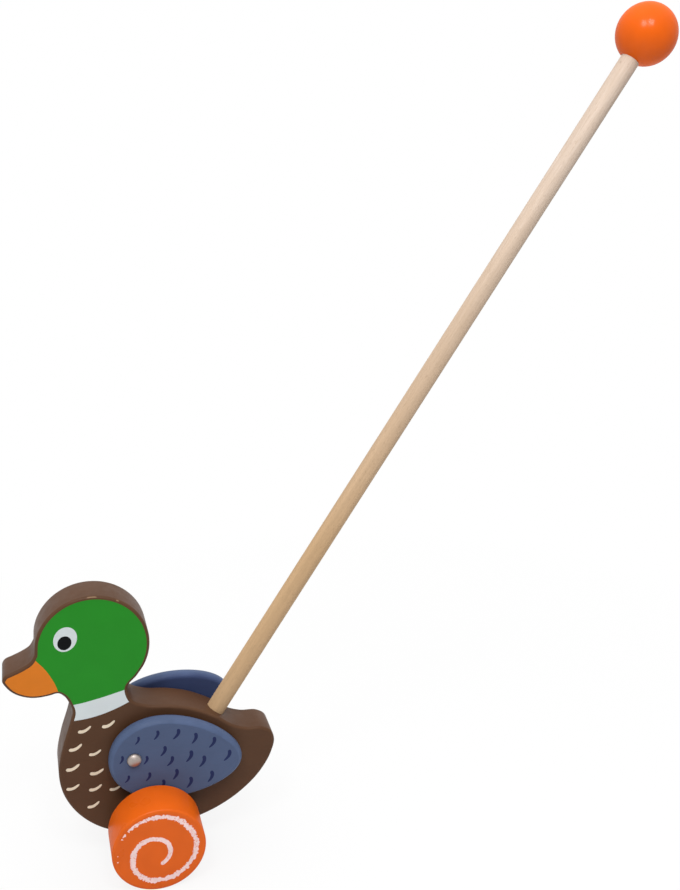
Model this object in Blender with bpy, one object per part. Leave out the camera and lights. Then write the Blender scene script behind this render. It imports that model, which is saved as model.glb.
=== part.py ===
"""A duck push toy: a sawn wooden duck on two wheels, with a push handle and two flapping wings.

The duck faces -X and stands on the floor at Z = 0, with its axle along Y. Left is the duck's own left, -Y.
Off-centre cams on the axle lift the wings, which hang on a pin through the body.
"""

import bmesh
import bpy
from math import ceil, cos, pi, radians, sin, sqrt
from mathutils import Vector
from mathutils.geometry import interpolate_bezier

# Sizes are in metres and angles in degrees. An outline's points are (x, z), measured from the axle's centre.

# Fits
GLUE_GAP = 0.0003
RUNNING_GAP = 0.0004

# Body board
BODY_THICKNESS = 0.024
BODY_EDGE = 0.0020
HEAD_CENTRE_X = -0.0289
HEAD_CENTRE_Z = 0.1248
HEAD_RADIUS = 0.0343
BILL_LENGTH = 0.0198
BILL_TOP_ANGLE = 180
NECK_ANGLE = -42
NECK_AND_BACK = [(-0.0100, 0.0938), (-0.0097, 0.0898), (-0.0072, 0.0842), (0.0000, 0.0803), (0.0170, 0.0768),
                 (0.0275, 0.0736), (0.0440, 0.0647)]
TAIL = [(0.0570, 0.0549), (0.0640, 0.0522), (0.0755, 0.0503), (0.0800, 0.0472), (0.0823, 0.0408)]
BELLY = [(0.0800, 0.0305), (0.0734, 0.0188), (0.0580, 0.0039), (0.0340, -0.0080), (0.0030, -0.0116),
         (-0.0280, -0.0071), (-0.0455, 0.0080)]
BREAST = [(-0.0543, 0.0265), (-0.0556, 0.0405), (-0.0520, 0.0580), (-0.0460, 0.0757), (-0.0441, 0.0828),
          (-0.0454, 0.0886), (-0.0478, 0.0937)]

# From the throat on, the bill's points lie forward of the head's edge by a share of the bill's length, and below
# the head's centre.
BILL = [(-0.60, 0.0280), (-0.34, 0.0286), (-0.06, 0.0290), (0.19, 0.0286), (0.44, 0.0270), (0.70, 0.0239),
        (0.90, 0.0193), (1.00, 0.0140), (0.92, 0.0114), (0.69, 0.0095), (0.41, 0.0073), (0.13, 0.0040)]

# Handle
ROD_DIAMETER = 0.012
ROD_LENGTH = 0.5378
ROD_CHAMFER = 0.0008
ROD_LEAN = 56.3
ROD_BEHIND_AXLE = 0.0034
ROD_ABOVE_AXLE = 0.042
BALL_DIAMETER = 0.0371
BALL_BORE_DEPTH = 0.022

# Wheels and axle
WHEEL_DIAMETER = 0.0580
WHEEL_WIDTH = 0.027
WHEEL_EDGE = 0.0025
WHEEL_WALL = 0.008
AXLE_DIAMETER = 0.008
AXLE_CHAMFER = 0.0005
AXLE_WASHER_DIAMETER = 0.016
WASHER_THICKNESS = 0.0008

# Cams
CAM_DIAMETER = 0.0250
CAM_THROW = 0.0039
CAM_EDGE = 0.0006

# Wings
WING_LENGTH = 0.0850
WING_HEIGHT = 0.0569
WING_TAPER = 0.19
WING_THICKNESS = 0.009
WING_EDGE = 0.0032
WING_TILT = -10.8
RIGHT_WING_RAISE = 26.7
WING_WHEEL_GAP = 0.0005

# Wing pin and its fasteners
PIN_DIAMETER = 0.004
PIN_BEFORE_AXLE = 0.0097
PIN_FROM_WING_FRONT = 0.0152
PIN_ABOVE_WING_LINE = 0.0008
PIN_STUB = 0.0005
WING_WASHER_DIAMETER = 0.010
CAP_DIAMETER = 0.0096
CAP_HEIGHT = 0.0040
CAP_WALL = 0.0005
NUT_THICKNESS = 0.0006
NUT_DISH = 0.0004

# Fineness of curved surfaces
OUTLINE_STEP = 0.0046
HEAD_KNOTS = 15
EDGE_STEPS = 2
WHEEL_SIDES = 56
WHEEL_EDGE_STEPS = 3
BALL_SIDES = 40
BALL_RINGS = 20
ROD_SIDES = 32
CAM_SIDES = 40
WING_SIDES = 60
PIN_SIDES = 20
CAP_SIDES = 24
CAP_RINGS = 5
SMOOTH_BELOW = 38
MERGE_DISTANCE = 0.000001
ROUND_PROFILE = 0.5

# Where the pieces sit, counted outwards from the middle of the body
BODY_FACE = BODY_THICKNESS / 2
WASHER_INNER = BODY_FACE + GLUE_GAP
WASHER_OUTER = WASHER_INNER + WASHER_THICKNESS
WING_INNER = WASHER_OUTER + GLUE_GAP
WING_OUTER = WING_INNER + WING_THICKNESS
WHEEL_INNER = WING_OUTER + WING_WHEEL_GAP
WHEEL_OUTER = WHEEL_INNER + WHEEL_WIDTH
CAM_OUTER = WHEEL_INNER - GLUE_GAP
WHEEL_BORE_END = WHEEL_OUTER - WHEEL_WALL
AXLE_END = WHEEL_BORE_END - GLUE_GAP
NUT_SEAT = WING_OUTER + GLUE_GAP
PIN_END = NUT_SEAT + NUT_THICKNESS + NUT_DISH + PIN_STUB

# Along the rod, counted from its point nearest the axle
ROD_TOP = ROD_ABOVE_AXLE + ROD_LENGTH
BALL_RADIUS = BALL_DIAMETER / 2
BALL_CENTRE = ROD_TOP + GLUE_GAP - BALL_BORE_DEPTH + BALL_RADIUS

BROWN = (85, 58, 46)
ORANGE = (222, 100, 32)
BLUE = (82, 92, 124)
BEECH = (205, 175, 136)
STEEL = (190, 190, 190)
FIBRE = (150, 140, 128)


def on_circle(centre, radius, angle):
    """The point of a circle at an angle from +X."""
    return (centre[0] + radius * cos(radians(angle)), centre[1] + radius * sin(radians(angle)))


def arc(centre, radius, start, end, steps):
    """Points along an arc, both ends included."""
    return [on_circle(centre, radius, start + (end - start) * i / steps) for i in range(steps + 1)]


def smooth(points):
    """Points along a smooth curve through the given ones, without the last, OUTLINE_STEP or less apart."""
    knots = [Vector(point) for point in points]
    tangents = []
    for i, knot in enumerate(knots):
        before = knots[max(i - 1, 0)]
        after = knots[min(i + 1, len(knots) - 1)]
        run_in = (knot - before).length
        run_out = (after - knot).length
        if not run_in or not run_out:
            tangents.append((after - before).normalized())
        else:
            arriving = (knot - before) / run_in
            leaving = (after - knot) / run_out
            tangents.append((arriving * run_out + leaving * run_in) / (run_in + run_out))
    curve = []
    for i in range(len(knots) - 1):
        chord = (knots[i + 1] - knots[i]).length
        reach = chord / 3
        steps = ceil(chord / OUTLINE_STEP)
        curve += interpolate_bezier(knots[i], knots[i] + tangents[i] * reach,
                                    knots[i + 1] - tangents[i + 1] * reach, knots[i + 1], steps + 1)[:-1]
    return curve


def duck_outline():
    """The duck's side view: head, back, tail, belly, breast and bill in one sweep."""
    head = arc((HEAD_CENTRE_X, HEAD_CENTRE_Z), HEAD_RADIUS, BILL_TOP_ANGLE, NECK_ANGLE, HEAD_KNOTS)
    head_edge = HEAD_CENTRE_X - HEAD_RADIUS
    bill = [(head_edge - share * BILL_LENGTH, HEAD_CENTRE_Z - drop) for share, drop in BILL]
    return smooth(head + NECK_AND_BACK + TAIL + BELLY + BREAST + bill + [head[0]])


def wing_outline():
    """An egg with its blunt end forward, hung at WING_TILT, measured from the wing pin."""
    half = WING_LENGTH / 2
    tilt = radians(WING_TILT)
    points = []
    for i in range(WING_SIDES):
        turn = 2 * pi * i / WING_SIDES
        along = half - PIN_FROM_WING_FRONT + half * cos(turn)
        across = WING_HEIGHT / 2 * sin(turn) * (1 - WING_TAPER * cos(turn)) - PIN_ABOVE_WING_LINE
        points.append((along * cos(tilt) - across * sin(tilt), along * sin(tilt) + across * cos(tilt)))
    return points


def pin_height():
    """How far above the axle the wing pin sits, for a lowered wing to pass just over the cams' highest reach."""
    reach = CAM_DIAMETER / 2 + CAM_THROW + RUNNING_GAP
    heights = []
    for x, z in wing_outline():
        aside = x - PIN_BEFORE_AXLE
        if abs(aside) < reach:
            heights.append(sqrt(reach ** 2 - aside ** 2) - z)
    return max(heights)


def linear(colour):
    """A display colour of 0 to 255 as the linear values that a shader takes."""
    shares = [value / 255 for value in colour]
    return [share / 12.92 if share <= 0.04045 else ((share + 0.055) / 1.055) ** 2.4 for share in shares] + [1]


def finish_piece(name, mesh_data, parent, finish):
    """Makes the named object from a mesh under construction, shades it smooth and gives it its own material."""
    colour, roughness, metallic = finish
    bmesh.ops.recalc_face_normals(mesh_data, faces=mesh_data.faces)
    mesh = bpy.data.meshes.new(name)
    mesh_data.to_mesh(mesh)
    mesh_data.free()
    mesh.shade_smooth()
    mesh.set_sharp_from_angle(angle=radians(SMOOTH_BELOW))
    material = bpy.data.materials.new(name)
    material.use_nodes = True
    shader = material.node_tree.nodes["Principled BSDF"]
    shader.inputs["Base Color"].default_value = linear(colour)
    shader.inputs["Roughness"].default_value = roughness
    shader.inputs["Metallic"].default_value = metallic
    mesh.materials.append(material)
    piece = bpy.data.objects.new(name, mesh)
    bpy.context.collection.objects.link(piece)
    piece.parent = parent
    return piece


def frame(name, location, rotation, parent=None):
    """An empty that carries pieces."""
    empty = bpy.data.objects.new(name, None)
    bpy.context.collection.objects.link(empty)
    empty.location = location
    empty.rotation_euler = [radians(angle) for angle in rotation]
    empty.parent = parent
    return empty


def turned(name, profile, sides, parent, finish, ring=False):
    """A piece turned about its parent's Z from (radius, height) points; a ring's profile closes on itself."""
    mesh_data = bmesh.new()
    points = [mesh_data.verts.new((radius, 0, height)) for radius, height in profile]
    pairs = list(zip(points, points[1:]))
    if ring:
        pairs.append((points[-1], points[0]))
    edges = [mesh_data.edges.new(pair) for pair in pairs]
    bmesh.ops.spin(mesh_data, geom=points + edges, axis=(0, 0, 1), angle=2 * pi, steps=sides, use_merge=True)
    bmesh.ops.remove_doubles(mesh_data, verts=mesh_data.verts, dist=MERGE_DISTANCE)
    return finish_piece(name, mesh_data, parent, finish)


def board(name, outline, low, high, edge, parent, finish):
    """A piece sawn from a board: the outline in its parent's XY, from low to high, with rounded edges."""
    mesh_data = bmesh.new()
    face = mesh_data.faces.new([mesh_data.verts.new((x, y, low)) for x, y in outline])
    raised = bmesh.ops.extrude_face_region(mesh_data, geom=[face])["geom"]
    lifted = [item for item in raised if isinstance(item, bmesh.types.BMVert)]
    bmesh.ops.translate(mesh_data, verts=lifted, vec=(0, 0, high - low))
    middle = (low + high) / 2
    rim = [line for line in mesh_data.edges
           if (line.verts[0].co.z > middle) == (line.verts[1].co.z > middle)]
    bmesh.ops.recalc_face_normals(mesh_data, faces=mesh_data.faces)
    bmesh.ops.bevel(mesh_data, geom=rim, offset=edge, segments=EDGE_STEPS, profile=ROUND_PROFILE, affect="EDGES")
    return finish_piece(name, mesh_data, parent, finish)


def drill(piece, name, radius, low, high, parent, sides):
    """Cuts a round hole along the parent's Z out of a piece."""
    mesh_data = bmesh.new()
    bmesh.ops.create_cone(mesh_data, cap_ends=True, segments=sides, radius1=radius, radius2=radius, depth=high - low)
    bmesh.ops.translate(mesh_data, verts=mesh_data.verts, vec=(0, 0, (low + high) / 2))
    mesh = bpy.data.meshes.new(name)
    mesh_data.to_mesh(mesh)
    mesh_data.free()
    cutter = bpy.data.objects.new(name, mesh)
    bpy.context.collection.objects.link(cutter)
    cutter.parent = parent
    cutter.hide_render = True
    cutter.display_type = "WIRE"
    cut = piece.modifiers.new(name, "BOOLEAN")
    cut.operation = "DIFFERENCE"
    cut.solver = "EXACT"
    cut.object = cutter


def ring_profile(inner, outer, low, high):
    """The section of a flat ring."""
    return [(inner, low), (outer, low), (outer, high), (inner, high)]


def dowel_profile(radius, low, high, chamfer):
    """The section of a round bar with chamfered ends."""
    return [(0, low), (radius - chamfer, low), (radius, low + chamfer), (radius, high - chamfer),
            (radius - chamfer, high), (0, high)]


def make_body(toy, handle, pin_axis):
    body = board("duck_body", duck_outline(), -BODY_FACE, BODY_FACE, BODY_EDGE, toy, (BROWN, 0.45, 0))
    past = BODY_FACE * 1.5
    drill(body, "axle_hole_cutter", AXLE_DIAMETER / 2 + RUNNING_GAP, -past, past, toy, ROD_SIDES)
    drill(body, "pin_hole_cutter", PIN_DIAMETER / 2 + GLUE_GAP, -past, past, pin_axis, PIN_SIDES)
    drill(body, "socket_cutter", ROD_DIAMETER / 2 + GLUE_GAP, ROD_ABOVE_AXLE - GLUE_GAP, ROD_TOP, handle, ROD_SIDES)


def make_handle(handle):
    rod = dowel_profile(ROD_DIAMETER / 2, ROD_ABOVE_AXLE, ROD_TOP, ROD_CHAMFER)
    turned("handle_rod", rod, ROD_SIDES, handle, (BEECH, 0.55, 0))
    bore = ROD_DIAMETER / 2 + GLUE_GAP
    mouth_drop = sqrt(BALL_RADIUS ** 2 - bore ** 2)
    bore_end = ROD_TOP + GLUE_GAP
    profile = [(0, bore_end), (bore, bore_end), (bore, BALL_CENTRE - mouth_drop)]
    for i in range(1, BALL_RINGS + 1):
        height = -mouth_drop + (BALL_RADIUS + mouth_drop) * (1 - cos(pi * i / BALL_RINGS)) / 2
        profile.append((sqrt(max(BALL_RADIUS ** 2 - height ** 2, 0)), BALL_CENTRE + height))
    turned("handle_ball", profile, BALL_SIDES, handle, (ORANGE, 0.18, 0))


def make_wheelset(toy, sides):
    axle = dowel_profile(AXLE_DIAMETER / 2, -AXLE_END, AXLE_END, AXLE_CHAMFER)
    turned("axle", axle, ROD_SIDES, toy, (BEECH, 0.6, 0))
    bore = AXLE_DIAMETER / 2 + GLUE_GAP
    radius = WHEEL_DIAMETER / 2
    wheel = [(0, WHEEL_BORE_END), (bore, WHEEL_BORE_END), (bore, WHEEL_INNER)]
    wheel += arc((radius - WHEEL_EDGE, WHEEL_INNER + WHEEL_EDGE), WHEEL_EDGE, -90, 0, WHEEL_EDGE_STEPS)
    wheel += arc((radius - WHEEL_EDGE, WHEEL_OUTER - WHEEL_EDGE), WHEEL_EDGE, 0, 90, WHEEL_EDGE_STEPS)
    wheel += [(0, WHEEL_OUTER)]
    cam = CAM_DIAMETER / 2
    disc = [(0, WING_INNER), (cam - CAM_EDGE, WING_INNER), (cam, WING_INNER + CAM_EDGE),
            (cam, CAM_OUTER - CAM_EDGE), (cam - CAM_EDGE, CAM_OUTER), (0, CAM_OUTER)]
    washer = ring_profile(AXLE_DIAMETER / 2 + RUNNING_GAP, AXLE_WASHER_DIAMETER / 2, WASHER_INNER, WASHER_OUTER)
    for side, axis in sides.items():
        turned("wheel_" + side, wheel, WHEEL_SIDES, axis, (ORANGE, 0.3, 0))
        turned("axle_washer_" + side, washer, ROD_SIDES, axis, (FIBRE, 0.7, 0), ring=True)
        lobe = frame("cam_centre_" + side, (0, -CAM_THROW, 0), (0, 0, 0), axis)
        disc_piece = turned("cam_" + side, disc, CAM_SIDES, lobe, (BEECH, 0.6, 0))
        drill(disc_piece, "cam_bore_cutter_" + side, bore, WASHER_INNER, WHEEL_INNER, axis, ROD_SIDES)


def make_wings(pin_axis, sides, raises):
    pin = dowel_profile(PIN_DIAMETER / 2, -PIN_END, PIN_END, GLUE_GAP)
    turned("wing_pin", pin, PIN_SIDES, pin_axis, (STEEL, 0.25, 1))
    hole = PIN_DIAMETER / 2 + RUNNING_GAP
    washer = ring_profile(hole, WING_WASHER_DIAMETER / 2, WASHER_INNER, WASHER_OUTER)
    cap = CAP_DIAMETER / 2
    inside = cap - CAP_WALL
    rise = CAP_HEIGHT - CAP_WALL
    grip = PIN_DIAMETER / 2 + GLUE_GAP
    nut_edge = inside - GLUE_GAP
    nut_top = NUT_SEAT + NUT_THICKNESS
    nut = [(nut_edge, NUT_SEAT), (nut_edge, nut_top), (grip, nut_top + NUT_DISH), (grip, NUT_SEAT + NUT_DISH)]
    quarter = [pi / 2 * i / CAP_RINGS for i in range(CAP_RINGS + 1)]
    dome = [(cap * sin(turn), NUT_SEAT + CAP_HEIGHT * cos(turn)) for turn in quarter]
    dome += [(inside * cos(turn), NUT_SEAT + rise * sin(turn)) for turn in quarter]
    for side, axis in sides.items():
        wing_axis = frame(side + "_wing_pivot", (0, 0, 0), (0, 0, raises[side]), pin_axis)
        span = (WING_INNER, WING_OUTER) if side == "left" else (-WING_OUTER, -WING_INNER)
        wing = board("wing_" + side, wing_outline(), *span, WING_EDGE, wing_axis, (BLUE, 0.4, 0))
        drill(wing, "wing_hole_cutter_" + side, hole, span[0] - WING_EDGE, span[1] + WING_EDGE, wing_axis, PIN_SIDES)
        turned("wing_washer_" + side, washer, PIN_SIDES, axis, (FIBRE, 0.7, 0), ring=True)
        turned("push_nut_" + side, nut, PIN_SIDES, axis, (STEEL, 0.4, 1), ring=True)
        turned("pin_cap_" + side, dome, CAP_SIDES, axis, (STEEL, 0.12, 1))


def main():
    for old in list(bpy.data.objects):
        bpy.data.objects.remove(old)
    lean = radians(ROD_LEAN)
    foot = (ROD_BEHIND_AXLE * sin(lean), -ROD_BEHIND_AXLE * cos(lean))
    front = HEAD_CENTRE_X - HEAD_RADIUS - BILL_LENGTH
    rear = foot[0] + BALL_CENTRE * cos(lean) + BALL_RADIUS
    axle_x = -(front + rear) / 2
    axle_z = WHEEL_DIAMETER / 2
    toy = frame("toy", (axle_x, 0, axle_z), (90, 0, 0))
    handle = frame("handle_axis", (axle_x + foot[0], 0, axle_z + foot[1]), (0, 90 - ROD_LEAN, 0))
    pin_place = (-PIN_BEFORE_AXLE, pin_height(), 0)
    pin_axis = frame("wing_pin_axis", pin_place, (0, 0, 0), toy)
    wheel_sides = {
        "left": frame("left_wheel_axis", (0, 0, 0), (0, 0, 0), toy),
        "right": frame("right_wheel_axis", (0, 0, 0), (180, 0, 0), toy),
    }
    pin_sides = {
        "left": frame("left_pin_axis", (0, 0, 0), (0, 0, 0), pin_axis),
        "right": frame("right_pin_axis", (0, 0, 0), (180, 0, 0), pin_axis),
    }
    make_body(toy, handle, pin_axis)
    make_handle(handle)
    make_wheelset(toy, wheel_sides)
    make_wings(pin_axis, pin_sides, {"left": 0, "right": RIGHT_WING_RAISE})


main()
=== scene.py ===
"""The finished look of a wooden duck push toy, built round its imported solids.

Sizes are in metres in the toy's own frame: the duck faces -X, the floor is Z = 0 and the duck's left is -Y.
An outline's points are (x, z), measured from the axle's centre.
"""

import random
from math import ceil, cos, pi, radians, sin, sqrt, tau

import bmesh
import bpy
from mathutils import Matrix, Vector
from mathutils.geometry import delaunay_2d_cdt, interpolate_bezier, intersect_line_line_2d


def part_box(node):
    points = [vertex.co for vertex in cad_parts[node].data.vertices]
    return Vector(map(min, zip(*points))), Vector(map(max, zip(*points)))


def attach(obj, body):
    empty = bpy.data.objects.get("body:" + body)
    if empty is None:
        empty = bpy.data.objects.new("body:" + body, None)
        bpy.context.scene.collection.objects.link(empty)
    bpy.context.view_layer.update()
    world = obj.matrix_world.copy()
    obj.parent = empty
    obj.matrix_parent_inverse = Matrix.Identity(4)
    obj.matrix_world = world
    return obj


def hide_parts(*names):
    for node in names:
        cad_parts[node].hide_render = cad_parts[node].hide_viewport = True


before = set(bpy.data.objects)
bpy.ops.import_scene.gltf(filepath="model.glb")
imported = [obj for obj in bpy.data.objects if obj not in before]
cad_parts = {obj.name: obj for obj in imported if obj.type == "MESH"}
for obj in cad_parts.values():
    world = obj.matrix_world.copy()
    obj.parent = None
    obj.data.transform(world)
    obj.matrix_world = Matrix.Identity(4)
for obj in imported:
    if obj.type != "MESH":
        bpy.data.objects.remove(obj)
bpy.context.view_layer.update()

# A rounded edge is (width, depth, the angle at which it leaves its flat face).

# Body board
BODY_EDGE = (0.0018, 0.0018, 0)
HEAD_CENTRE = (-0.0289, 0.1248)
HEAD_RADIUS = 0.0343
BILL_LENGTH = 0.0198
BILL_TOP_ANGLE = 180
NECK_ANGLE = -42
HEAD_KNOTS = 15
NECK_AND_BACK = [(-0.0100, 0.0938), (-0.0097, 0.0898), (-0.0072, 0.0842), (0.0000, 0.0803),
                 (0.0170, 0.0768), (0.0275, 0.0736), (0.0440, 0.0647)]
TAIL = [(0.0570, 0.0549), (0.0640, 0.0522), (0.0755, 0.0503), (0.0800, 0.0472), (0.0823, 0.0408)]
BELLY = [(0.0800, 0.0305), (0.0734, 0.0188), (0.0580, 0.0039), (0.0340, -0.0080), (0.0030, -0.0116),
         (-0.0280, -0.0071), (-0.0455, 0.0080)]
BREAST = [(-0.0543, 0.0265), (-0.0556, 0.0405), (-0.0520, 0.0580), (-0.0460, 0.0757), (-0.0441, 0.0828),
          (-0.0454, 0.0886), (-0.0478, 0.0937)]
# From the throat on, the bill's points lie forward of the head's edge by a share of the bill's length,
# and below the head's centre.
BILL = [(-0.60, 0.0280), (-0.34, 0.0286), (-0.06, 0.0290), (0.19, 0.0286), (0.44, 0.0270), (0.70, 0.0239),
        (0.90, 0.0193), (1.00, 0.0140), (0.92, 0.0114), (0.69, 0.0095), (0.41, 0.0073), (0.13, 0.0040)]
AXLE_HOLE = 0.0088
PIN_HOLE = 0.0046
SOCKET_DIAMETER = 0.0126

# Handle
ROD_DIAMETER = 0.012
ROD_LENGTH = 0.5378
ROD_CHAMFER = 0.0008
ROD_LEAN = 56.3
ROD_PAINTED_LIGHT_SPAN = (0.31, 0.82)
BALL_BORE = 0.0121
BALL_BORE_DEPTH = 0.022

# Wheels and cams
WHEEL_DIAMETER = 0.0580
WHEEL_EDGE = 0.0022
WHEEL_EDGE_DEPTH = 0.0012
WHEEL_WALL = 0.008
WHEEL_BORE = 0.0086

# Wings
WING_LENGTH = 0.0850
WING_HEIGHT = 0.0569
WING_TAPER = 0.19
WING_OUTER_EDGE = (0.0026, 0.0042, 50)
WING_INNER_EDGE = (0.0034, 0.0034, 0)
WING_TILT = -10.8
RIGHT_WING_RAISE = 26.7
WING_HOLE = 0.0048
PIN_FROM_WING_FRONT = 0.0152
PIN_ABOVE_WING_LINE = 0.0008

# Caps on the wing pin
CAP_DIAMETER = 0.0090
CAP_HEIGHT = 0.0030
CAP_WALL = 0.0003

# Print on the body's faces
BILL_SEAM = [(-0.0680, 0.1290), (-0.0624, 0.1212), (-0.0582, 0.1154), (-0.0550, 0.1094), (-0.0524, 0.1026),
             (-0.0510, 0.0960), (-0.0506, 0.0900)]
COLLAR_TOP = [(-0.0520, 0.0884), (-0.0424, 0.0880), (-0.0297, 0.0896), (-0.0120, 0.0932), (-0.0030, 0.0952)]
COLLAR_FOOT = [(-0.0520, 0.0772), (-0.0433, 0.0768), (-0.0356, 0.0770), (-0.0279, 0.0782),
               (-0.0148, 0.0822), (-0.0030, 0.0876)]
PRINT_OVERHANG = 1.3
BILL_PRINT_INSET = 0.0016
EYE_PLACE = (-0.0446, 0.1331)
EYE_SIZE = (0.0137, 0.0165)
PUPIL_PLACE = (-0.0452, 0.1307)
PUPIL_SIZE = (0.0082, 0.0093)
EYE_TILT = -20
BREAST_TICKS = [(-0.0378, 0.0695), (-0.0231, 0.0707), (-0.0441, 0.0577), (-0.0326, 0.0519),
                (-0.0468, 0.0437), (-0.0325, 0.0379), (-0.0478, 0.0295), (-0.0341, 0.0264),
                (-0.0218, 0.0239), (-0.0362, 0.0141)]
BREAST_TICK = [(-0.0040, -0.0005), (-0.0003, -0.0025), (0.0039, 0.0018)]
BREAST_TICK_WIDTHS = (0.0022, 0.0022, 0.0013)
BREAST_TICK_SIZES = (0.93, 1.07)
BREAST_TICK_TURN = 5
BREAST_SEED = 5

# Chips in the body's paint: place from the axle's centre, and size
CHIPS = [((-0.0272, -0.0114, 0.1584), 0.0028), ((-0.0122, -0.0114, 0.1540), 0.0010)]

# Print on the wings, from the wing pin, placed as on the lowered left wing. Ticks grow with their distance
# behind the pin, by their full size in WING_TICK_GROWTH.
WING_TICKS = [(0.0027, 0.0133), (0.0146, 0.0151), (0.0270, 0.0135), (0.0381, 0.0085),
              (0.0494, 0.0034), (0.0183, 0.0028), (0.0344, -0.0040), (0.0587, -0.0080),
              (-0.0078, 0.0013), (0.0071, -0.0017), (0.0223, -0.0053), (0.0425, -0.0093),
              (-0.0050, -0.0132), (0.0080, -0.0140), (0.0250, -0.0155), (0.0472, -0.0215),
              (0.0336, -0.0232), (0.0165, -0.0212)]
WING_TICK = [(0.0007, 0.0037), (0.0029, 0.0001), (-0.0022, -0.0037)]
WING_TICK_WIDTHS = (0.0021, 0.0028, 0.0009)
WING_TICK_AT_PIN = 0.69
WING_TICK_GROWTH = 0.10
WING_TICK_LIMITS = (0.70, 1.02)
WING_TICK_SIZES = (0.95, 1.05)
WING_TICK_TURN = 6
WING_SEED = 3

# Spiral stamped on the wheels, from the wheel's centre, with a radius every SPIRAL_TURN degrees. Over shares
# of its length the stroke starts round, swells, roughens and fades. Gaps break it, and flecks end it.
SPIRAL_TIP = (0.0002, -0.0101)
SPIRAL_START = -80
SPIRAL_TURN = 30
SPIRAL_RADII = (0.0095, 0.0080, 0.0070, 0.0065, 0.0068, 0.0074, 0.0091, 0.0116, 0.0144, 0.0170,
                0.0196, 0.0214, 0.0217, 0.0219, 0.0226, 0.0230, 0.0230, 0.0241, 0.0248, 0.0255)
SPIRAL_TAIL = (-0.0187, 0.0176)
SPIRAL_WIDTH = 0.0031
SPIRAL_START_WIDTH = 0.0027
SPIRAL_END_WIDTH = 0.0017
SPIRAL_ROUND = 0.012
SPIRAL_BLUNTNESS = 0.1
SPIRAL_SWELL = 0.2
SPIRAL_FADE = 0.17
SPIRAL_STEP = 0.0006
SPIRAL_ROUGHNESS = 0.0010
SPIRAL_LEAST_ROUGHNESS = 0.15
SPIRAL_ROUGHENING = 0.35
SPIRAL_LIMIT = 0.0262
SPIRAL_UNBROKEN = 0.25
SPIRAL_GAPS = 26
SPIRAL_GAP_SIZE = (0.0011, 0.0004)
SPIRAL_GAP_REACH = 0.75
SPIRAL_SEED = 11
DRIFT_STEPS = 4
DRIFT_SHARE = 0.35
DRY_FLECKS = [((-0.0203, 0.0162), 0.0012), ((-0.0207, 0.0160), 0.0015), ((-0.0214, 0.0150), 0.0014),
              ((-0.0203, 0.0150), 0.0009), ((-0.0224, 0.0131), 0.0011), ((-0.0218, 0.0128), 0.0007),
              ((-0.0254, 0.0014), 0.0006), ((-0.0258, -0.0030), 0.0010)]
FLECK_STRETCH = 1.5
BLOT_REACH = (0.65, 1.25)

# Material indices of the pieces' faces. On the body, the prints have one each.
COAT = 0
PRINT = 1
HEAD_PRINT, BILL_PRINT, WHITE_PRINT, BLACK_PRINT, CREAM_PRINT = range(1, 6)

# Fineness
OUTLINE_STEP = 0.0011
EDGE_STEPS = 8
SUPPORT = 0.00012
WHEEL_SIDES = 128
BALL_SIDES = 96
BALL_RINGS = 48
ROD_SIDES = 64
WING_SIDES = 180
HOLE_SIDES = 40
CAP_SIDES = 64
CAP_RINGS = 14
EYE_SIDES = 48
PUPIL_SIDES = 40
TICK_STEPS = 16
TICK_END = 0.14
BLOT_SIDES = 7
FLOOR_SIDES = 96
SMOOTH_BELOW = 38
RIM_MARGIN = 0.001
FILL_SCALE = 1000
FILL_INSIDE = 1
FILL_MERGE = 0.00001

# Display colours, 0 to 255
BROWN = (84, 57, 39)
GREEN = (33, 134, 32)
BILL_ORANGE = (214, 120, 31)
WHITE = (207, 215, 217)
BLACK = (13, 14, 17)
CREAM = (230, 214, 190)
BLUE = (77, 91, 121)
# The wings' inner faces: a darker blue that paints shade on them
SHADED_BLUE = (57, 69, 106)
NAVY = (28, 38, 80)
ORANGE = (217, 94, 18)
BALL_ORANGE = (228, 95, 8)
SPIRAL_PINK = (240, 210, 208)
BEECH = (194, 161, 123)
# The paler top colour of beech: painted light
LIT_BEECH = (213, 194, 178)
STEEL = (196, 196, 196)
CAP_WHITE = (168, 157, 151)
FIBRE = (150, 138, 124)

# Finishes: sizes of their features along X, Y and Z, depths of their relief, how far brightness and roughness
# vary, and how much of another colour shows
NOISE_LOW = 0.3
NOISE_HIGH = 0.7
PAINT_PATCHES = (0.016, 0.016, 0.016)
PAINT_FIBRES = (0.014, 0.0011, 0.0011)
PAINT_SPECKS = (0.0014, 0.0014, 0.0014)
PAINT_CLOUDS = (0.005, 0.005, 0.005)
PAINT_CONTRAST = 0.05
PAINT_GLOSS = 0.14
PAINT_GRAIN = 0.00003
PRINT_GRAIN = 0.000012
PAINT_ROUGHNESS_SPREAD = 0.05
FIBRE_SHARE = 0.05
FIBRE_SPAN = (0.35, 0.55)
FIBRE_SHADE = 0.6
# Rounded edges turn paler: partly thinner paint, partly painted sheen
EDGE_WEAR_AND_SHEEN = 0.25
WORN_AND_SHEEN_SHADE = 1.5
CHIP_SHARE = 0.3
CHIP_CORE = 0.8
CHIP_RAGGEDNESS = 0.4
CHIP_EDGE_SPAN = (0.80, 0.95)
LACQUER_PATCHES = (0.014, 0.014, 0.014)
LACQUER_WAVES = (0.0016, 0.0016, 0.0016)
LACQUER_CONTRAST = 0.04
LACQUER_BASE_ROUGHNESS = 0.5
LACQUER_ROUGHNESS_SPREAD = 0.03
STAMP_PATCHES = (0.004, 0.004, 0.004)
STAMP_CONTRAST = 0.06
STAMP_GLOSS = 0.17
STAMP_HOLES = (0.0009, 0.0009, 0.0009)
STAMP_HOLE_SHARE = 0.9
STAMP_HOLE_SPAN = (0.30, 0.36)
STAMP_RELIEF = (0.0008, 0.0008, 0.0008)
STAMP_DEPTH = 0.00005
BEECH_STREAKS = (0.0045, 0.0045, 0.14)
BEECH_FIBRES = (0.0006, 0.0006, 0.016)
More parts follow.
